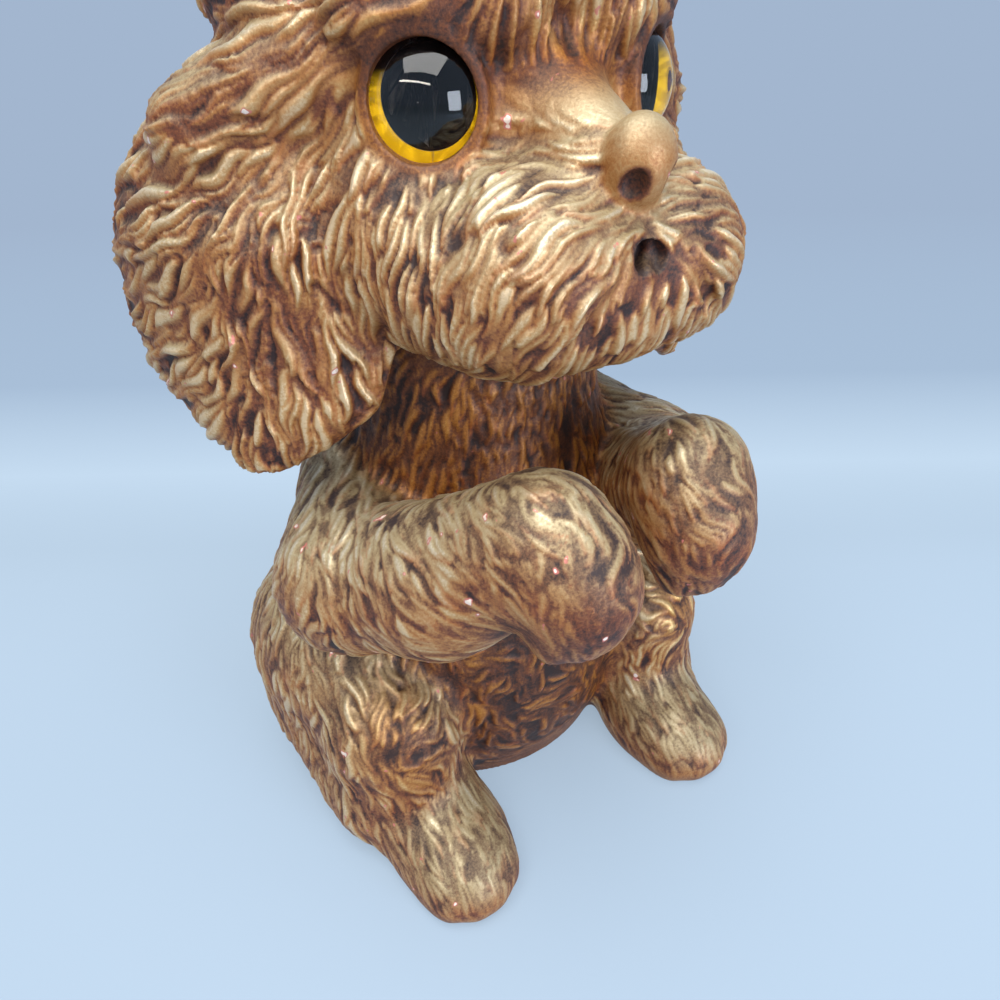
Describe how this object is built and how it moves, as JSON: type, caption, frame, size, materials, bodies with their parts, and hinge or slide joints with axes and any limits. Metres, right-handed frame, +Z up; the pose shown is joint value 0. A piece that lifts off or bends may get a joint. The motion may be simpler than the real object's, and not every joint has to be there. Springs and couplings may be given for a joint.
{
  "type": "begging puppy figure",
  "caption": "Painted plaster ornament of a shaggy long-eared puppy sitting up and begging, gold fur over brown, with domed glass eyes.",
  "frame": {"origin": "on the table, under the middle of the figure's box", "axes": "+Z up, -Y the way the figure faces, +X its left side"},
  "size_m": [0.2012, 0.1854, 0.3182],
  "materials": {
    "painted_plaster": "satin",
    "bare_plaster": "matte",
    "eye_glass": "gloss",
    "yellow_enamel": "gloss",
    "black_enamel": "gloss",
    "iron_wire": "matte"
  },
  "bodies": {
    "root": {"torso_casting": "painted_plaster", "head_casting": "painted_plaster", "right_foreleg_casting": "painted_plaster", "right_ear_casting": "painted_plaster", "right_foreleg_wire": "iron_wire", "right_ear_wire": "iron_wire", "right_eye_glass": "eye_glass", "right_eye_iris": "yellow_enamel", "right_eye_pupil": "black_enamel", "right_eye_bed": "bare_plaster", "left_foreleg_casting": "painted_plaster", "left_ear_casting": "painted_plaster", "left_foreleg_wire": "iron_wire", "left_ear_wire": "iron_wire", "left_eye_glass": "eye_glass", "left_eye_iris": "yellow_enamel", "left_eye_pupil": "black_enamel", "left_eye_bed": "bare_plaster"}
  },
  "joints": []
}
